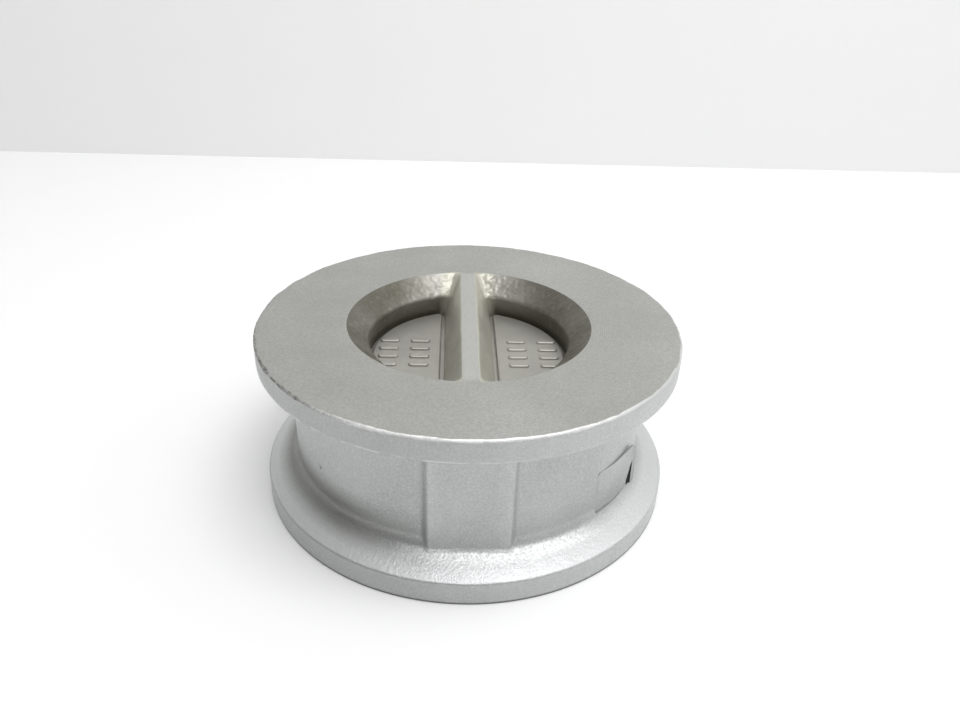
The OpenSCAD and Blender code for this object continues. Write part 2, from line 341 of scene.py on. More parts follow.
def flat_radius(angles):
    """Distance of the nearer end flat's outline in each direction, or 0 away from it."""
    off = np.abs(angles % math.pi - math.pi / 2)
    tangent = np.tan(off)
    radius = FLAT_DISTANCE / np.cos(off)
    back = (FLAT_DISTANCE * tangent - FLAT_HALF) / (FLAT_FLANK + FLAT_DEPTH * tangent)
    flank = (FLAT_DISTANCE - FLAT_DEPTH * back) / np.cos(off)
    radius = np.where(back > 0, flank, radius)
    widest = math.radians(16)
    return np.where(off < widest, radius, 0)


def smooth_max(a, b, width):
    """The larger of a and b, rounded where they cross."""
    blend = np.clip(0.5 + 0.5 * (a - b) / width, 0, 1)
    return b + (a - b) * blend + width * blend * (1 - blend)


# How far the cast skin wanders from the true surface, for each zone of the section
CAST_DEPTH = {"cast": 0.14, "slope": 0.10, "cone": 0.16, "wall": 0.10, "chamber": 0.30}
SKIN_SEED, BAR_SEED, CRINKLE_SEED, EDGE_SEED = 11, 31, 77, 5

# Marks left by the mould: direction in degrees, height, depth, half width and half height.
# A negative depth stands proud.
PIT_DIRECTION, PIT_Z = 219.0, 30.8
CAST_MARKS = (
    (PIT_DIRECTION, PIT_Z, 0.9, 0.8, 0.8), (219.3, 27.8, 0.3, 0.6, 1.8),
    (218.0, 32.6, -0.25, 0.8, 0.8),
    (243.0, 27.0, -0.2, 1.0, 1.0), (300.0, 46.0, 0.2, 1.2, 0.8),
    (96.0, 30.0, 0.35, 1.4, 1.2), (152.0, 22.0, -0.3, 1.6, 1.2), (20.0, 47.0, 0.3, 1.0, 1.6),
    (62.0, 24.0, -0.25, 0.9, 1.4), (186.0, 35.0, 0.25, 1.2, 1.0),
)


def cast_marks(radius, height, angles):
    """Depth of the mould's marks at one ring of the outside."""
    total = np.zeros(AROUND)
    for direction, z, depth, half_width, half_height in CAST_MARKS:
        off = (angles - math.radians(direction) + math.pi) % (2 * math.pi) - math.pi
        across = (off * radius / half_width) ** 2
        along = ((height - z) / half_height) ** 2
        total -= depth * np.exp(-across - along)
    return total


def section_normals(section):
    """Outward directions at the points of the closed section."""
    along = np.roll(section, -1, axis=0) - np.roll(section, 1, axis=0)
    along /= np.linalg.norm(along, axis=1)[:, None]
    return np.stack([along[:, 1], -along[:, 0]], axis=1)


def cone_offset(points, z, angles):
    """Skin of one ring of the inlet's cone, roughest by the bar and even at the face.

    by_bar is 1 at the bar's two ends and nearly 0 beyond 30 degrees from them.
    """
    by_bar = np.exp(-((np.abs(np.sin(angles)) - 1) / 0.07) ** 2)
    lumps = CAST_DEPTH["cone"] * (1 + 0.8 * by_bar) * casting_noise(points, SKIN_SEED)
    crinkle, flatter = 1.3, (1, 1, 0.45)
    crinkles = (0.12 + 0.22 * by_bar) * lattice_noise(points * flatter, crinkle, CRINKLE_SEED)
    fade_depth = 1.2
    return (lumps + crinkles) * min((FACE_Z - z) / fade_depth, 1)


def skin_offset(points, section_point, zone, angles):
    """How far one ring of the casting stands off its true surface."""
    r, z = section_point
    if zone == "cone":
        return cone_offset(points, z, angles)
    offset = CAST_DEPTH[zone] * casting_noise(points, SKIN_SEED)
    if zone == "cast":
        offset = offset + cast_marks(r, z, angles)
    if abs(r - FLANGE_R) < CAST_EDGE + 0.01:
        offset = -np.abs(offset)
    return offset


def casting_surface():
    """Vertices of the revolved casting with end flats, cast skin and uneven edges."""
    profile = casting_profile()
    section = np.array([(r, z) for r, z, _ in profile])
    zones = [zone for _, _, zone in profile]
    angles = 2 * math.pi * np.arange(AROUND) / AROUND
    radius = np.repeat(section[:, :1], AROUND, axis=1)
    height = np.repeat(section[:, 1:], AROUND, axis=1)
    flats = flat_radius(angles)
    for i, zone in enumerate(zones):
        if zone == "cast" and RIM_LOW < section[i, 1] < FACE_Z - RIM_HIGH:
            radius[i] = smooth_max(radius[i], flats, 0.9)
    points = np.stack([radius * np.cos(angles), radius * np.sin(angles), height], axis=2)
    for i, (across, up) in enumerate(section_normals(section)):
        if zones[i] in CAST_DEPTH:
            offset = skin_offset(points[i], section[i], zones[i], angles)
            points[i, :, 0] += offset * across * np.cos(angles)
            points[i, :, 1] += offset * across * np.sin(angles)
            points[i, :, 2] += offset * up
    return uneven_edges(points, section, zones, angles)


def edge_wander(angles):
    """How far the inlet face's edge is torn back round the rim, the most on the -Y side."""
    ring = np.column_stack([np.cos(angles), np.sin(angles), np.zeros(AROUND)]) * FLANGE_R
    waves = 0.45 * lattice_noise(ring, 7.0, EDGE_SEED)
    nicks = 0.25 * lattice_noise(ring, 2.1, EDGE_SEED + 1)
    towards_front = np.maximum(-np.sin(angles), 0)
    return np.clip((0.6 + waves + nicks) * (1 + 0.7 * towards_front), 0.1, 1.3)


def uneven_edges(points, section, zones, angles):
    """Makes the torn edge round the inlet face wander in height and in radius."""
    wander = edge_wander(angles)
    for i, zone in enumerate(zones):
        if zone != "edge" or section[i, 1] < FACE_Z / 2:
            continue
        depth = FACE_Z - section[i, 1]
        points[i, :, 2] = FACE_Z - depth * (0.3 + 0.9 * wander)
        pulled = FLANGE_R - (FLANGE_R - section[i, 0]) * (0.4 + 0.7 * wander)
        points[i, :, 0] = pulled * np.cos(angles)
        points[i, :, 1] = pulled * np.sin(angles)
    return points


def revolved_casting():
    """The casting before its bar, slots and seats."""
    points = casting_surface()
    rows = len(points)
    return new_object("casting", points.reshape(-1, 3), grid_faces(rows, AROUND, True, True))


def bar_half_section():
    """Half of the bar's section from the middle of its top to the middle of its foot."""
    foot_z = SEAT_Z + BAR_FOOT_H
    top_z = FACE_Z - 0.005
    points = [(x, top_z) for x in np.linspace(0, BAR_TOP - 0.35, 5)]
    points += [(BAR_TOP - 0.1, top_z - 0.08), (BAR_TOP + 0.05, top_z - 0.3)]
    for t in np.linspace(0.03, 0.97, 20):
        bulge = BAR_BULGE * 4 * t * (1 - t)
        points.append((BAR_TOP + (BAR_FOOT - BAR_TOP) * t + bulge, top_z + (foot_z - top_z) * t))
    points += [(BAR_FOOT, foot_z - 0.2), (BAR_FOOT, SEAT_Z + 0.4), (BAR_FOOT - 0.3, SEAT_Z + 0.05)]
    points += [(x, SEAT_Z) for x in np.linspace(BAR_FOOT - 1, 0, 6)]
    return points


def passage_radius(z):
    """Radius of the inlet at a height, above the seat."""
    throat_z = FACE_Z - MOUTH_DEPTH
    if z > throat_z:
        return THROAT_R + (MOUTH_R - THROAT_R) * (z - throat_z) / MOUTH_DEPTH
    return THROAT_R + (PORT_R - THROAT_R) * (throat_z - z) / (throat_z - SEAT_Z)


def flared(x, y, z):
    """The bar section's x at a station y, moved out where the flank meets the inlet's wall."""
    if z >= FACE_Z - 0.2:
        return x
    wall = math.sqrt(max(passage_radius(z) ** 2 - x * x, 0))
    gap = min(max(wall - abs(y), 0), BAR_FLARE)
    extra = BAR_FLARE - math.sqrt(BAR_FLARE * BAR_FLARE - (BAR_FLARE - gap) ** 2)
    return x + math.copysign(extra * min(abs(x) / BAR_TOP, 1), x)


def centre_bar():
    """The bar across the inlet. Its flanks flare into the wall at both ends."""
    half = bar_half_section()
    section = half + [(-x, z) for x, z in reversed(half[1:-1])]
    coarse, past_wall = 34.0, 1.0
    middle = np.linspace(-coarse, coarse, 70)
    end = np.linspace(coarse + 0.5, MOUTH_R + past_wall, 44)
    stations = np.concatenate([-end[::-1], middle, end])
    points = np.array([(flared(x, y, z), y, z) for y in stations for x, z in section])
    flank = (points[:, 2] < FACE_Z - 0.2) & (points[:, 2] > SEAT_Z + 0.2)
    offset = 0.14 * casting_noise(points * (1, 0.5, 1), BAR_SEED) * flank
    points[:, 0] += offset * np.sign(points[:, 0])
    return new_object("bar", points, tube_faces(len(stations), len(section)))


def copy_of(node, name, shift=(0, 0, 0)):
    """A free copy of a CAD node's mesh, to cut with."""
    obj = in_scene(name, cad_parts[node].data.copy())
    obj.data.transform(Matrix.Translation([x * MM for x in shift]))
    edit = bmesh.new()
    edit.from_mesh(obj.data)
    bmesh.ops.remove_doubles(edit, verts=edit.verts, dist=1e-6)
    edit.to_mesh(obj.data)
    edit.free()
    return obj


def carrier_slot(angle):
    """Block that cuts a pin carrier's slot. It starts inside the chamber and below the face."""
    low, high = cad("carrier_rear")
    slot = box_cutter("slot", low[0] - SLOT_GAP, high[0] + SLOT_GAP,
                      low[1] - SLOT_REACH, high[1] + SLOT_GAP, -1, high[2] + SLOT_GAP)
    return about_z(slot, angle)


def label_seat(across):
    """Distance of the casting behind the nameplate: let into the neck at its near half."""
    if across > 0:
        return LABEL_DISTANCE
    near = min(-2 * across / LABEL_WIDTH, 1)
    round_x = math.sqrt((LABEL_DISTANCE + 0.05) ** 2 - across ** 2)
    return min(LABEL_DISTANCE, round_x) - LABEL_SINK * near * near * (3 - 2 * near)


def label_cutter():
    """Block that cuts the nameplate's seat into the neck and the outlet flange's fillet."""
    half = LABEL_WIDTH / 2 + LABEL_GAP
    outline = [(label_seat(y), y) for y in np.linspace(half, -half, 24)]
    outline += [(FLANGE_R, -half), (FLANGE_R, half)]
    cutter = prism("label_cut", outline, LABEL_LOW - LABEL_GAP, LABEL_TOP + LABEL_GAP)
    return about_z(cutter, LABEL_ANGLE)


def build_casting():
    """The cast body with its bar, the carriers' slots and the seats of insert and nameplate."""
    casting = revolved_casting()
    combine(casting, centre_bar(), "UNION")
    for angle in (0, math.pi):
        combine(casting, carrier_slot(angle), "DIFFERENCE")
    combine(casting, label_cutter(), "DIFFERENCE")
    combine(casting, copy_of("seat_insert", "groove", (0, 0, -0.5)), "DIFFERENCE")
    casting.name = "valve_body"
    smooth_shade(casting, 38)
    paint_casting(casting)
    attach(casting, "housing")
    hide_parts("body")


def polygon_vectors(mesh, name):
    """The centres or the normals of a mesh's polygons, as N x 3 numbers."""
    values = np.zeros(len(mesh.polygons) * 3)
    mesh.polygons.foreach_get(name, values)
    return values.reshape(-1, 3)


def paint_casting(casting):
    """Gives each face of the casting the material of the surface that it lies on."""
    mesh = casting.data
    mesh.materials.clear()
    for material in (once(aluminium_paint), machined_face(), raw_passage(), once(bright_edge)):
        mesh.materials.append(material)
    painted, machined, raw, torn = range(4)
    centre = polygon_vectors(mesh, "center") / MM
    slant = polygon_vectors(mesh, "normal")[:, 2]
    radius, z = np.hypot(centre[:, 0], centre[:, 1]), centre[:, 2]
    level, near = 0.97, 0.06
    index = np.full(len(z), painted, np.int32)
    face_top = (z > FACE_Z - near) & (slant > level)
    face_low = (z < near) & (slant < -level)
    index[face_top | face_low] = machined
    passage = (radius < MOUTH_R + 0.55) & (z > SEAT_Z - 0.1) & ~face_top
    index[passage] = raw
    seat = (np.abs(z - SEAT_Z) < 0.05) & (slant < -level) & (radius < SEAT_R)
    index[seat] = machined
    edge = (radius > FLANGE_R - 2) & (z > FACE_Z - 2.2) & (slant > 0.2)
    index[edge & ~face_top] = torn
    mesh.polygons.foreach_set("material_index", index)
    mesh.update()


# ---- plates

def half_disc_outline(radius, edge, corner):
    """Outline of a half disc with its straight side at x = edge and rounded corners."""
    reach = math.sqrt((radius - corner) ** 2 - (edge + corner) ** 2)
    swing = math.atan2(reach, edge + corner)
    outline = []
    for sign in (-1, 1):
        centre = (edge + corner, sign * reach)
        start, end = (math.pi, 2 * math.pi - swing) if sign < 0 else (swing, math.pi)
        for a in np.linspace(start, end, 7):
            outline.append((centre[0] + corner * math.cos(a), centre[1] + corner * math.sin(a)))
        if sign < 0:
            for a in np.linspace(-swing, swing, 162)[1:-1]:
                outline.append((radius * math.cos(a), radius * math.sin(a)))
    return outline


def capsule_outline(x, y, length, width, count=14):
    """Outline of a bar along X with round ends."""
    reach = (length - width) / 2
    outline = []
    for side in (1, -1):
        for i in range(count + 1):
            a = math.pi * i / count - math.pi / 2
            outline.append((x + side * (reach + width / 2 * math.cos(a)),
                            y + side * width / 2 * math.sin(a)))
    return outline


def knuckle_web(y0, y1):
    """The web between a knuckle and its plate, with a concave outer side."""
    root_x, root_z = 6.0, HINGE_Z - 2.9
    foot_x, foot_z = 13.0, PLATE_BACK + SINK
    deepest = 1.3
    outline = [(0.4, HINGE_Z), (root_x, root_z)]
    for t in np.linspace(0.1, 0.9, 7):
        sag = deepest * 4 * t * (1 - t)
        x = root_x + (foot_x - root_x) * t - sag * 0.8
        z = root_z + (foot_z - root_z) * t + sag * 0.55
        outline.append((x, z))
    outline += [(foot_x, foot_z), (PLATE_EDGE + 0.1, foot_z), (PLATE_EDGE + 0.1, HINGE_Z + 6.3)]
    web = prism("web", outline, y0 + 0.15, y1 - 0.15, 0.4, 0.4, 2)
    swap = Matrix(((1, 0, 0, 0), (0, 0, 1, 0), (0, 1, 0, 0), (0, 0, 0, 1)))
    return turn(web, swap)


def stop_boss():
    """Cast boss on the plate's back, wider where it leaves the plate."""
    x = STOP_REACH * math.sin(OPEN_ANGLE)
    fillet, edge = 1.8, 0.5
    profile = [(BOSS_R - edge, BOSS_TIP), (BOSS_R - 0.3 * edge, BOSS_TIP + 0.3 * edge),
               (BOSS_R, BOSS_TIP + edge), (BOSS_R, PLATE_BACK - fillet - 0.4)]
    profile += [(BOSS_R + fillet * (1 - math.cos(a)), PLATE_BACK - fillet * (1 - math.sin(a)))
                for a in np.linspace(0.15, math.pi / 2, 7)]
    profile.append((BOSS_R + fillet, PLATE_BACK + SINK))
    ring = circle(1.0, 64)
    vertices = [(x + r * cx, r * cy, z) for r, z in profile for cx, cy in ring]
    return new_object("boss", vertices, tube_faces(len(profile), len(ring)))


def add_tally_bars(plate):
    """Two columns of raised bars on the plate's face."""
    top = PLATE_TOP + FACE_H
    for x, row in itertools.product(TALLY_X, (-1.5, -0.5, 0.5, 1.5)):
        outline = capsule_outline(x, row * TALLY_STEP, TALLY_LEN, TALLY_W)
        combine(plate, prism("tally", outline, top - SINK, top + TALLY_H, 0.6, 0, 5), "UNION")


def build_plate(name, side, body):
    """A half-round plate. side is 1 for the right-hand one and -1 for the left-hand one."""
    disc = half_disc_outline(PLATE_R, PLATE_EDGE, 0.6)
    plate = prism(name, disc, PLATE_BACK, PLATE_TOP, 0.35, 0.6)
    face = half_disc_outline(RAISED_R, RAISED_EDGE, 1.6)
    raised = prism("raised", face, PLATE_TOP - 0.5, PLATE_TOP + FACE_H, 0.8, 0, 6)
    combine(plate, raised, "UNION")
    add_tally_bars(plate)
    for y0, y1 in KNUCKLES:
        combine(plate, knuckle_web(y0, y1), "UNION")
        combine(plate, hinge_cylinder("hub", HUB_R, y0, y1, 0.4), "UNION")
    combine(plate, stop_boss(), "UNION")
    combine(plate, hinge_cylinder("bore", BORE_R, -BORE_REACH, BORE_REACH), "DIFFERENCE")
    if side < 0:
        about_z(plate, math.pi)
    smooth_shade(plate, 40)
    even = plate.modifiers.new("even_shading", "WEIGHTED_NORMAL")
    even.weight = 90
    even.keep_sharp = True
    plate.data.materials.clear()
    plate.data.materials.append(plate_metal())
    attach(plate, body)
    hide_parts("plate_right" if side > 0 else "plate_left")


# ---- nameplate

def tear_width(z):
    """Width of the dark gap at the nameplate's far end, widest at its low corner."""
    reach, taper = 12.0, 9.0
    return LABEL_TEAR * max(0.0, min(1.0, (LABEL_LOW + reach - z) / taper))


def sheet_lift(s, z):
    """How far the nameplate stands off its seat: sprung up and curled at its far end."""
    half_w, height = LABEL_WIDTH / 2, LABEL_TOP - LABEL_LOW
    spring_lift, curl_lift = 0.5, 0.7
    low_end = (LABEL_TOP - z) / height
    sprung = spring_lift * max(s / half_w, 0) ** 2 * (0.35 + low_end)
    curl = max((s - half_w + LABEL_CURL) / LABEL_CURL, 0)
    return sprung + LABEL_GAP + curl_lift * curl ** 2


def sheet_columns():
    """Places across the nameplate, closest together at its round corners and its curl."""
    half_w, corner, far = LABEL_WIDTH / 2, LABEL_CORNER, 4.2
    return np.concatenate([np.linspace(-half_w, corner - half_w, 9)[:-1],
                           np.linspace(corner - half_w, half_w - far, 36)[:-1],
                           np.linspace(half_w - far, half_w, 29)])


def sheet_points(across, rows):
    """The nameplate's back and front vertices, and whether each lies in the dark gap."""
    half_w, half_height = LABEL_WIDTH / 2, (LABEL_TOP - LABEL_LOW) / 2
    middle_z = (LABEL_LOW + LABEL_TOP) / 2
    curl_edge = half_w - LABEL_CURL
    tear_depth, panel_depth = 0.5, 0.12
    front, back, torn = [], [], []
    for s in across:
        inside = max(abs(s) - (half_w - LABEL_CORNER), 0)
        half_h = half_height - LABEL_CORNER + math.sqrt(max(LABEL_CORNER ** 2 - inside ** 2, 0))
        for v in np.linspace(-1, 1, rows):
            z = middle_z + v * half_h
            border = min(half_w - abs(s), half_height - abs(v * half_h))
            in_tear = curl_edge - tear_width(z) < s < curl_edge - 0.05
            sunk = tear_depth if in_tear else panel_depth if border > LABEL_FRAME else 0.0
            seat = label_seat(s) + sheet_lift(s, z)
            torn.append(in_tear)
            back.append((seat, s, z))
            front.append((seat + LABEL_T - sunk, s, z))
    return back, front, torn


def sheet_faces(columns, rows):
    """Faces of a closed sheet whose back vertices all come before its front ones."""
    size = columns * rows
    faces = grid_faces(columns, rows, False, False)
    faces += [tuple(size + k for k in reversed(face)) for face in faces]
    rim = ([i * rows for i in range(columns)]
           + [(columns - 1) * rows + j for j in range(1, rows)]
           + [i * rows + rows - 1 for i in range(columns - 2, -1, -1)]
           + list(range(rows - 2, 0, -1)))
    for a, b in zip(rim, rim[1:] + rim[:1]):
        faces.append((a, b, size + b, size + a))
    return faces


def build_nameplate():
    """A blank sheet-metal plate with round corners, sprung off the neck at its far end."""
    across, rows = sheet_columns(), 50
    columns = len(across)
    size = columns * rows
    back, front, torn = sheet_points(across, rows)
    sheet = outward(new_object("nameplate_sheet", back + front, sheet_faces(columns, rows)))
    plate = about_z(sheet, LABEL_ANGLE)
    smooth_shade(plate, 50)
    for material in (once(aluminium_paint), once(bright_edge), once(dark_gap)):
        plate.data.materials.append(material)
    # The curl gets bright_edge as a painted highlight, and the faces in the gap get dark_gap as
    # painted shade.
    bright, dark = 1, 2
    curl_columns = 5
    curl_start = (columns - curl_columns) * rows
    for polygon in plate.data.polygons:
        corners = [k - size for k in polygon.vertices]
        if min(corners) >= curl_start:
            polygon.material_index = bright
        elif min(corners) >= 0 and any(torn[k] for k in corners):
            polygon.material_index = dark
    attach(plate, "housing")
    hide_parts("nameplate")


# ---- springs

def coil_point(turned):
    """Middle of the wire, by the angle turned from the top of the coil, in degrees."""
    a = math.radians(turned)
    y = COIL_START - (COIL_START - COIL_END) * turned / (360 * COIL_TURNS)
    return np.array((-COIL_R * math.sin(a), y, HINGE_Z + COIL_R * math.cos(a)))


def tube(name, path, radius, sides=14):
    """A closed round tube along a path whose first and last stretches are its ends."""
    path = np.asarray(path, float)
    tangent = np.gradient(path, axis=0)
    tangent /= np.linalg.norm(tangent, axis=1)[:, None]
    across = np.array((0.0, 1.0, 0.0))
    rings = []
    scales = np.ones(len(path))
    scales[[0, -1]] = 0.75
    for point, direction, scale in zip(path, tangent, scales):
        up = np.cross(direction, across)
        up /= np.linalg.norm(up)
        side = np.cross(up, direction)
        for i in range(sides):
            a = 2 * math.pi * i / sides
            rings.append(point + radius * scale * (math.cos(a) * up + math.sin(a) * side))
    return outward(new_object(name, rings, tube_faces(len(path), sides)))


def spring_pieces(end, angle):
    """A spring's coil on the housing and its two legs, each on the plate that it pushes.

    Each leg runs on round the first or the last 80 degrees of the coil, just over its wire.
    """
    last = 360 * COIL_TURNS
    coil = [coil_point(a) for a in range(0, last + 1, 12)]
    start, stop = coil_point(0), coil_point(last)
    lengths = np.linspace(LEG_LEN, 1.0, 10)
    shared = range(0, 81, 8)
    first_leg = [start + (x, 0, 0) for x in lengths] + [coil_point(a) for a in shared]
    last_leg = [stop - (x, 0, 0) for x in lengths] + [coil_point(last - a) for a in shared]
    bodies = ("right_plate", "left_plate") if angle == 0 else ("left_plate", "right_plate")
    over_coil = WIRE_R * 1.01
    made = (
        (f"spring_{end}_coil", coil, WIRE_R, "housing"),
        (f"spring_{end}_first_leg", first_leg, over_coil, bodies[0]),
        (f"spring_{end}_last_leg", last_leg, over_coil, bodies[1]),
    )
    for name, path, radius, body in made:
        piece = about_z(tube(name, path, radius), angle)
        smooth_shade(piece, 50)
        piece.data.materials.append(spring_steel())
        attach(piece, body)
        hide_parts(f"spring_{end}")


# ---- materials

RANGES = ("From Min", "From Max", "To Min", "To Max")


class Nodes:
    """Short names for building one material's node tree."""

    def __init__(self, name):
        self.material = bpy.data.materials.new(name)
        self.material.use_nodes = True
        self.tree = self.material.node_tree
        self.shader = self.tree.nodes["Principled BSDF"]
        self.place = self.add("ShaderNodeTexCoord").outputs["Object"]

    def add(self, kind, **values):
        """A new node with those properties."""
        node = self.tree.nodes.new(kind)
        for key, value in values.items():
            setattr(node, key, value)
        return node

    def link(self, source, target):
        self.tree.links.new(source, target)

    def noise(self, scale, detail=4.0, roughness=0.6, place=None):
        """Noise with that many features per metre."""
        node = self.add("ShaderNodeTexNoise")
        node.inputs["Scale"].default_value = scale
        node.inputs["Detail"].default_value = detail
        node.inputs["Roughness"].default_value = roughness
        self.link(place or self.place, node.inputs["Vector"])
        return node.outputs["Fac"]

    def cells(self, scale):
        """Rounded grains, with that many per metre."""
        node = self.add("ShaderNodeTexVoronoi")
        node.inputs["Scale"].default_value = scale
        self.link(self.place, node.inputs["Vector"])
        return node.outputs["Distance"]

    def stretched(self, x, y, z):
        """The place with its axes scaled, for a noise with long features."""
        node = self.add("ShaderNodeMapping")
        node.inputs["Scale"].default_value = (x, y, z)
        self.link(self.place, node.inputs["Vector"])
        return node.outputs["Vector"]

    def span(self, source, low, high, to_low=0.0, to_high=1.0):
        """Maps a value from one range to another and clamps it."""
        node = self.add("ShaderNodeMapRange")
        for name, value in zip(RANGES, (low, high, to_low, to_high)):
            node.inputs[name].default_value = value
        self.link(source, node.inputs["Value"])
        return node.outputs["Result"]

    def band(self, source, low, high, to_low=0.0, to_high=1.0):
        """Like span, with the first range in millimetres."""
        return self.span(source, low * MM, high * MM, to_low, to_high)

    def calc(self, first, operation, second):
        """One operation on two values, each a socket or a number."""
        node = self.add("ShaderNodeMath", operation=operation)
        for socket, value in zip(node.inputs, (first, second)):
            if isinstance(value, (int, float)):
                socket.default_value = value
            else:
                self.link(value, socket)
        return node.outputs["Value"]

    def product(self, first, *others):
        """Several values multiplied together."""
        for other in others:
            first = self.calc(first, "MULTIPLY", other)
        return first

    def mix(self, amount, first, second):
        """Blends two colours, each a socket or an RGB triple."""
        node = self.add("ShaderNodeMix", data_type="RGBA")
        self.link(amount, node.inputs["Factor"])
        for socket, value in ((node.inputs[6], first), (node.inputs[7], second)):
            if isinstance(value, tuple):
                socket.default_value = (*value, 1.0)
            else:
                self.link(value, socket)
        return node.outputs[2]

    def axes(self):
        """The place on the surface as three sockets, in metres."""
        parts = self.add("ShaderNodeSeparateXYZ")
        self.link(self.place, parts.inputs["Vector"])
        return [parts.outputs[k] for k in "XYZ"]

    def radius(self):
        """Distance from the flow axis, in metres."""
        x, y, _ = self.axes()
        square = self.calc(self.product(x, x), "ADD", self.product(y, y))
        return self.calc(square, "POWER", 0.5)

    def distance(self, point):
        """Distance from a fixed point, in metres."""
        node = self.add("ShaderNodeVectorMath", operation="DISTANCE")
        self.link(self.place, node.inputs[0])
        node.inputs[1].default_value = point
        return node.outputs["Value"]

    def bump(self, height, distance, strength, after=None):
        """Shading relief of a height, over an earlier relief if there is one."""
        node = self.add("ShaderNodeBump")
        node.inputs["Distance"].default_value = distance
        node.inputs["Strength"].default_value = strength
        self.link(height, node.inputs["Height"])
        if after:
            self.link(after, node.inputs["Normal"])
        return node.outputs["Normal"]

    def finish(self, colour, roughness, normal=None, metallic=0.0):
        """Puts the values on the shader, by link or as constants, and returns the material."""
        for name, value in (("Base Color", colour), ("Roughness", roughness), ("Normal", normal)):
            if isinstance(value, tuple):
                self.shader.inputs[name].default_value = (*value, 1.0)
            elif isinstance(value, float):
                self.shader.inputs[name].default_value = value
            elif value is not None:
                self.link(value, self.shader.inputs[name])
        self.shader.inputs["Metallic"].default_value = metallic
        return self.material


def painted_fillet_shade(n, broad, colour):
    """Painted shade in the lower fillet of the neck, strongest on the -X side."""
    x, _, z = n.axes()
    fillet = n.product(n.band(z, 21.5, 30.0, 1.0, 0.0), n.band(n.radius(), 77.5, 83.5, 1.0, 0.0))
    shade_amount = n.product(fillet, n.band(x, -50, -4, 1.0, 0.0), n.span(broad, 0.3, 0.7, 0.75, 1.0))
    return n.mix(shade_amount, colour, (0.27, 0.268, 0.255))


def rims_painted_shade(n, colour):
    """Painted shade round the flanges' rims at -X, and a painted contact shadow where the valve
    stands.
    """
    x, _, z = n.axes()
    rim = n.product(n.band(n.radius(), 86.6, 87.1), n.band(x, -30, 60, 0.32, 0.0))
    colour = n.mix(rim, colour, (0.27, 0.275, 0.268))
    return n.mix(n.band(z, 0.6, 1.3, 0.9, 0.0), colour, (0.10, 0.10, 0.095))


def lip_painted_highlight(n, colour):
    """A broken painted highlight along the lower lip of the inlet flange's rim."""
    x, _, z = n.axes()
    lip_z = FACE_Z - RIM_HIGH + CAST_EDGE
    line_z = n.product(n.band(z, lip_z - 0.5, lip_z), n.band(z, lip_z, lip_z + 0.5, 1.0, 0.0))
    broken = n.span(n.noise(180, 2), 0.40, 0.60, 0.1, 1.0)
    lip = n.product(line_z, n.band(n.radius(), 85.5, 86.2), n.band(x, -15, 30, 0.75, 0.2), broken)
    return n.mix(lip, colour, (0.74, 0.75, 0.74))


def foot_painted_highlight(n, grain, colour):
    """A thin painted highlight where the -Y flat and the neck run into the outlet flange."""
    x, y, z = n.axes()
    radius = n.radius()
    foot = n.product(n.band(radius, 75.7, 76.8), n.band(radius, 79.0, 81.5, 1.0, 0.0),
                     n.band(z, 15.8, 16.8, 1.0, 0.0), n.band(y, -70, -60, 1.0, 0.0),
                     n.band(x, -30, -10), n.span(grain, 0.38, 0.60, 0.35, 1.0))
    return n.mix(foot, colour, (0.96, 0.97, 0.97))


def dark_pit(n, colour):
    """The shadowed bottom of the pit in the neck."""
    angle = math.radians(PIT_DIRECTION)
    pit = (NECK_R * MM * math.cos(angle), NECK_R * MM * math.sin(angle), PIT_Z * MM)
    return n.mix(n.band(n.distance(pit), 0.5, 1.1, 0.85, 0.0), colour, (0.06, 0.06, 0.055))


def aluminium_paint():
    """Silver paint over a sand-cast skin, with painted light that makes the flanges' slopes
    brightest.
    """
    n = Nodes("aluminium_paint")
    radius = n.radius()
    broad = n.noise(28, 3)
    grain = n.noise(1300, 3, 0.7)
    flakes = n.noise(2600, 1, 0.5)
    slope = n.product(n.band(radius, 76.5, 80.0), n.band(radius, 86.8, 87.6, 1.0, 0.0))
    colour = n.mix(n.span(broad, 0.35, 0.65), (0.41, 0.425, 0.42), (0.475, 0.49, 0.485))
    # Painted light: the slopes are painted lighter where they catch the overhead light.
    colour = n.mix(slope, colour, (0.62, 0.635, 0.635))
    colour = n.mix(n.span(grain, 0.40, 0.85, 0.0, 0.7), colour, (0.68, 0.695, 0.69))
    # Painted glints: the paint's flakes are painted near white, most of all on the slopes.
    painted_glints = n.product(n.span(flakes, 0.64, 0.78), n.span(slope, 0.0, 1.0, 0.25, 1.0))
    colour = n.mix(painted_glints, colour, (0.90, 0.91, 0.91))
    # Painted shade in the neck's lower fillet.
    colour = painted_fillet_shade(n, broad, colour)
    # Painted shade on the rims and at the base, and a painted highlight on the rim's lower lip.
    colour = lip_painted_highlight(n, rims_painted_shade(n, colour))
    # A painted highlight at the foot of the -Y flat, and painted shadow in the pit.
    colour = dark_pit(n, foot_painted_highlight(n, grain, colour))
    roughness = n.span(grain, 0.3, 0.7, 0.48, 0.32)
    roughness = n.calc(roughness, "ADD", n.span(slope, 0.0, 1.0, 0.0, -0.02))
    rough_skin = n.bump(n.cells(800), 0.00016, 0.45)
    normal = n.bump(grain, 0.00024, 0.75, rough_skin)
    return n.finish(colour, roughness, normal, 0.68)


def dark_gap():
    """The unlit gap behind the nameplate's sprung corner."""
    return Nodes("dark_gap").finish((0.02, 0.02, 0.02), 0.8)


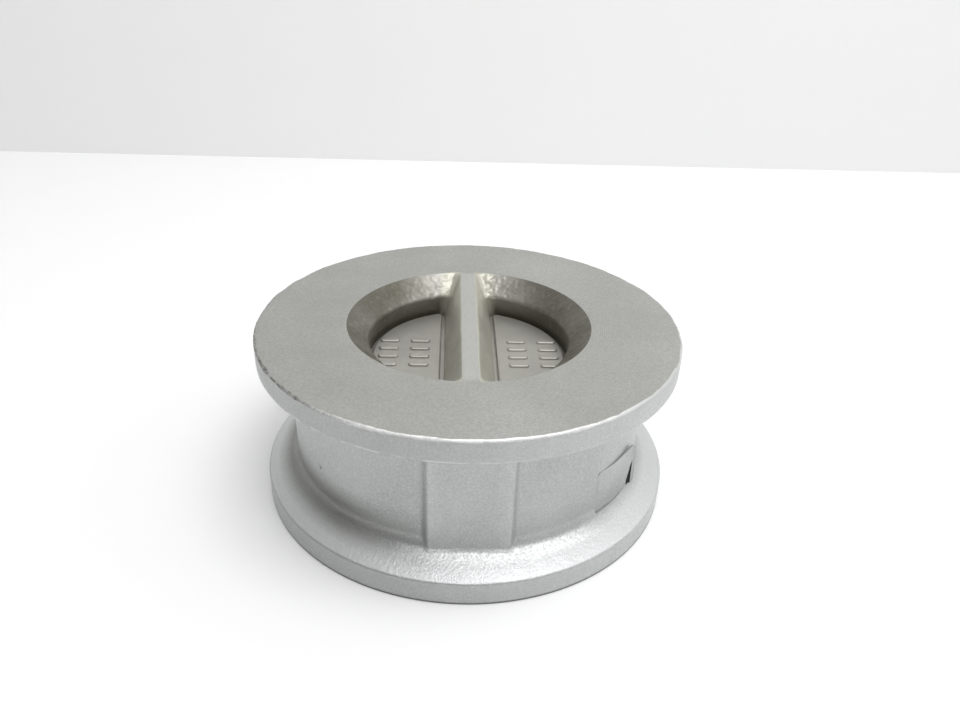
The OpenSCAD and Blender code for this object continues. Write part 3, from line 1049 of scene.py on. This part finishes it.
def machined_face():
    """Turned gasket face: grey steel with fine concentric serrations and dull patches."""
    n = Nodes("machined_face")
    patches = n.noise(22, 3)
    fine = n.noise(1100, 2, 0.6)
    turns = n.product(n.radius(), 2 * math.pi / (SERRATION * MM))
    height = n.calc(n.calc(turns, "ADD", n.product(fine, 3.5)), "SINE", 0.0)
    colour = n.mix(n.span(patches, 0.35, 0.7), (0.41, 0.41, 0.385), (0.485, 0.485, 0.46))
    # Painted sheen: the serrations' crests are painted lighter, more towards +X.
    crests = n.product(n.span(height, -0.2, 1.0), n.band(n.axes()[0], -30, 30, 0.05, 0.32))
    colour = n.mix(crests, colour, (0.64, 0.64, 0.62))
    colour = n.mix(n.span(fine, 0.35, 0.75, 0.0, 0.55), colour, (0.32, 0.32, 0.30))
    bar_top = n.band(n.radius(), 48, 51, 0.4, 0.0)
    colour = n.mix(bar_top, colour, (0.66, 0.66, 0.63))
    roughness = n.span(fine, 0.3, 0.7, 0.42, 0.56)
    first = n.bump(height, 0.00002, 0.6)
    normal = n.bump(fine, 0.00004, 0.5, first)
    return n.finish(colour, roughness, normal, 0.75)


def raw_passage():
    """Unpainted cast steel inside the inlet: brownish and rough, smoother on the bar, with a
    painted reflection near the bar's ends and painted shade on the throat wall.
    """
    n = Nodes("raw_passage")
    x, _, z = n.axes()
    off_centre = n.calc(x, "ABSOLUTE", 0.0)
    broad = n.noise(70, 4)
    pits = n.noise(480, 4, 0.6)
    dark = n.mix(n.span(broad, 0.35, 0.7), (0.135, 0.128, 0.10), (0.20, 0.193, 0.165))
    light = n.mix(n.span(broad, 0.35, 0.7), (0.30, 0.29, 0.255), (0.44, 0.43, 0.40))
    # Painted reflection: the wall is painted lighter near the bar's ends than at the sides.
    wall = n.mix(n.band(off_centre, 14, 32), light, dark)
    wall = n.mix(n.span(pits, 0.58, 0.85, 0.0, 0.7), wall, (0.38, 0.37, 0.34))
    # Painted shade: the throat wall below the cone is painted dark.
    wall = n.mix(n.band(z, 57.5, 66.0), (0.095, 0.09, 0.068), wall)
    bar = n.mix(n.span(broad, 0.3, 0.7), (0.48, 0.47, 0.40), (0.57, 0.56, 0.49))
    colour = n.mix(n.band(off_centre, 10.5, 13.5), bar, wall)
    roughness = n.span(pits, 0.3, 0.7, 0.54, 0.38)
    normal = n.bump(pits, 0.00026, 0.6)
    return n.finish(colour, roughness, normal, 0.6)


def bright_edge():
    """The torn edge between paint and machined face: bare metal with a painted highlight, darker
    at -X and dull at +X.
    """
    n = Nodes("bright_edge")
    x, _, z = n.axes()
    chips = n.noise(420, 4, 0.7)
    # Near white: the bare edge's own colour together with a painted highlight.
    bare_highlight = n.mix(n.span(chips, 0.4, 0.6), (0.74, 0.74, 0.73), (0.93, 0.93, 0.92))
    darker_tone = n.mix(n.span(chips, 0.40, 0.60), (0.14, 0.135, 0.125), (0.42, 0.415, 0.40))
    bare_highlight = n.mix(n.band(x, 40, 62), bare_highlight, (0.58, 0.59, 0.58))
    colour = n.mix(n.band(x, -62, -36), darker_tone, bare_highlight)
    painted = n.product(n.band(z, FACE_Z - 1.6, FACE_Z - 0.3, 1.0, 0.0), n.band(x, -50, -20))
    colour = n.mix(painted, colour, (0.52, 0.53, 0.525))
    normal = n.bump(chips, 0.0002, 0.6)
    return n.finish(colour, 0.38, normal, 0.3)


def plate_metal():
    """Blasted stainless steel of the plates."""
    n = Nodes("plate_metal")
    broad = n.noise(45, 4)
    fine = n.noise(1600, 3, 0.7)
    colour = n.mix(n.span(broad, 0.3, 0.7), (0.40, 0.39, 0.36), (0.48, 0.47, 0.435))
    roughness = n.span(fine, 0.3, 0.7, 0.42, 0.55)
    normal = n.bump(fine, 0.00006, 0.6)
    return n.finish(colour, roughness, normal, 0.8)


def turned_steel(name, colour, roughness, metallic=1.0):
    """Turned or ground steel with fine marks around its axis, along Y."""
    n = Nodes(name)
    marks = n.noise(500, 3, 0.6, n.stretched(0.15, 4.0, 0.15))
    light = tuple(min(1.0, c * 1.12) for c in colour)
    tone = n.mix(n.span(marks, 0.35, 0.65), colour, light)
    rough = n.span(marks, 0.3, 0.7, roughness, roughness + 0.08)
    return n.finish(tone, rough, n.bump(marks, 0.000002, 0.5), metallic)


_made = {}


def once(maker, *values):
    """Makes a shared material the first time that it is asked for."""
    key = (maker.__name__, *values)
    if key not in _made:
        _made[key] = maker(*values)
    return _made[key]


def spring_steel():
    """Bright drawn wire."""
    return once(turned_steel, "spring_steel", (0.50, 0.50, 0.51), 0.26)


def seat_rubber():
    """Matt black rubber of the seat insert."""
    n = Nodes("seat_rubber")
    fine = n.noise(1800, 3)
    colour = n.mix(n.span(fine, 0.3, 0.7), (0.018, 0.018, 0.019), (0.035, 0.035, 0.035))
    return n.finish(colour, 0.62, n.bump(fine, 0.00005, 0.4))


# ---- CAD nodes that stay

def dress(node, material, bevel):
    """Rounds a CAD node's edges with a bevel and gives it its material."""
    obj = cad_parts[node]
    obj.data.materials.clear()
    obj.data.materials.append(material)
    obj.data.polygons.foreach_set("use_smooth", [True] * len(obj.data.polygons))
    weld = obj.modifiers.new("weld", "WELD")
    weld.merge_threshold = 0.000002
    rounding = obj.modifiers.new("bevel", "BEVEL")
    rounding.width = bevel * MM
    rounding.segments = 3
    rounding.limit_method = "ANGLE"
    rounding.angle_limit = math.radians(35)
    rounding.harden_normals = True


def dress_cad_nodes():
    """Gives every CAD node that stays visible its bevel and its steel or rubber."""
    ground = turned_steel("ground_pin_steel", (0.56, 0.56, 0.56), 0.18)
    milled = turned_steel("milled_carrier_steel", (0.42, 0.41, 0.40), 0.34)
    bearing = turned_steel("bearing_steel", (0.52, 0.50, 0.46), 0.28)
    black = turned_steel("set_screw_oxide", (0.06, 0.06, 0.065), 0.40, 0.6)
    dress("hinge_pin", ground, 0.4)
    dress("stop_pin", ground, 0.4)
    for end in ("front", "rear"):
        dress(f"carrier_{end}", milled, 0.5)
        for kind in ("body", "plate", "spring"):
            dress(f"{kind}_bearing_{end}", bearing, 0.15)
    dress("centre_spacer", bearing, 0.15)
    dress("set_screws", black, 0.2)
    dress("seat_insert", seat_rubber(), 0.1)


# ---- stage, light and camera

def plain_surface(name, corners, colour, glow):
    """A stage surface, lit a little from within so that its far parts stay pale."""
    mesh = bpy.data.meshes.new(name)
    mesh.from_pydata(corners, [], [(0, 1, 2, 3)])
    n = Nodes(name)
    n.shader.inputs["Emission Color"].default_value = (1.0, 1.0, 1.0, 1.0)
    n.shader.inputs["Emission Strength"].default_value = glow
    mesh.materials.append(n.finish(colour, 0.8))
    obj = in_scene(name, mesh)


def area_light(name, place, size, power):
    """A rectangular light aimed at the valve."""
    data = bpy.data.lights.new(name, "AREA")
    data.shape = "RECTANGLE"
    data.size, data.size_y = size
    data.energy = power
    obj = in_scene(name, data)
    obj.location = place
    aim = Vector((0, 0, 0.03)) - Vector(place)
    obj.rotation_euler = aim.to_track_quat("-Z", "Y").to_euler()


def build_dome():
    """A soft sky, bright overhead and to the right and dim round the horizon."""
    world = bpy.data.worlds.new("studio")
    bpy.context.scene.world = world
    world.use_nodes = True
    tree = world.node_tree
    direction = tree.nodes.new("ShaderNodeTexCoord")
    parts = tree.nodes.new("ShaderNodeSeparateXYZ")
    tree.links.new(direction.outputs["Generated"], parts.inputs["Vector"])
    slant = tree.nodes.new("ShaderNodeMath")
    slant.operation = "MULTIPLY_ADD"
    slant.inputs[1].default_value = 0.40
    tree.links.new(parts.outputs["X"], slant.inputs[0])
    tree.links.new(parts.outputs["Z"], slant.inputs[2])
    strength = tree.nodes.new("ShaderNodeMapRange")
    for name, value in zip(RANGES, (0.0, 1.0, 0.12, 1.0)):
        strength.inputs[name].default_value = value
    tree.links.new(slant.outputs["Value"], strength.inputs["Value"])
    background = tree.nodes["Background"]
    background.inputs["Color"].default_value = (1, 1, 1, 1)
    tree.links.new(strength.outputs["Result"], background.inputs["Strength"])


def build_stage():
    """A pale floor and wall, a large soft light overhead and a weaker one from +X."""
    wall_y, reach, wall_h = 0.53, 4, 3
    near = [(-reach, -reach, 0), (reach, -reach, 0)]
    far = [(reach, wall_y, 0), (-reach, wall_y, 0)]
    top = [(reach, wall_y, wall_h), (-reach, wall_y, wall_h)]
    plain_surface("floor", near + far, (0.94, 0.94, 0.94), 0.07)
    plain_surface("back_wall", far[::-1] + top, (0.90, 0.905, 0.90), 0.03)
    area_light("overhead", (0.20, -0.20, 1.05), (0.65, 0.5), 4.4)
    area_light("right_fill", (1.05, 0.10, 0.75), (0.8, 0.6), 1.6)
    bpy.context.scene.view_settings.view_transform = "Standard"


def build_camera():
    """From the -Y side and above: pitched 29.2 degrees down and rolled by 2 degrees."""
    place = Vector((-7.5, -286.65, 214.1)) * MM
    forward = Vector((0.0381, 0.8720, -0.4882)).normalized()
    roll = math.radians(1.98)
    level = forward.cross(Vector((0, 0, 1))).normalized()
    above = level.cross(forward)
    right = level * math.cos(roll) + above * math.sin(roll)
    up = right.cross(forward)
    data = bpy.data.cameras.new("camera")
    data.sensor_width = 36.0
    data.lens = 28.59
    data.clip_start = 0.01
    camera = in_scene("camera", data)
    axes = Matrix((right, up, -forward)).transposed().to_4x4()
    camera.matrix_world = Matrix.Translation(place) @ axes
    bpy.context.scene.camera = camera


build_camera()
build_dome()
build_stage()
build_casting()
build_plate("plate_right_detail", 1, "right_plate")
build_plate("plate_left_detail", -1, "left_plate")
spring_pieces("rear", 0)
spring_pieces("front", math.pi)
build_nameplate()
dress_cad_nodes()
